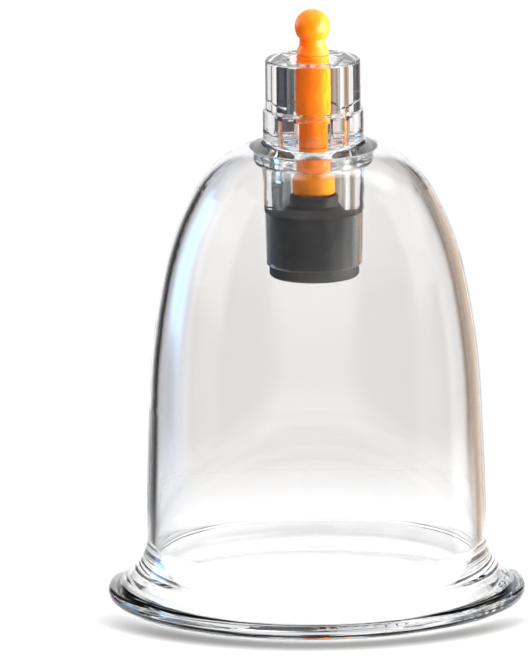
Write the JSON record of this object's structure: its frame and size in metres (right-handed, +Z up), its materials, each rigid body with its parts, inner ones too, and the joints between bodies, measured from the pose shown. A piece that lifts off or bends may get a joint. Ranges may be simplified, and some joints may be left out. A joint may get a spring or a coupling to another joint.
{
  "type": "vacuum cupping cup",
  "caption": "Clear rigid bell-shaped suction cup with a thick round rim and a pump nozzle that holds a ball-ended release pin on a rubber seat.",
  "frame": {"origin": "centre of the rim's resting plane", "axes": "+Z up along the cup's axis from the rim to the nozzle, X and Y across the rim"},
  "size_m": [0.0588, 0.0588, 0.084],
  "materials": {
    "clear_plastic": "clear, polished moulding",
    "grey_rubber": "matte moulded rubber",
    "yellow_plastic": "satin moulded plastic"
  },
  "bodies": {
    "cup": {"cup_body": "clear_plastic", "rubber_seat": "grey_rubber"},
    "stem": {"valve_stem": "yellow_plastic"}
  },
  "joints": [
    {"name": "stem_lift", "type": "slide", "parent": "cup", "child": "stem", "axis": [0, 0, 1], "range_m": [0, 0.0035]}
  ]
}
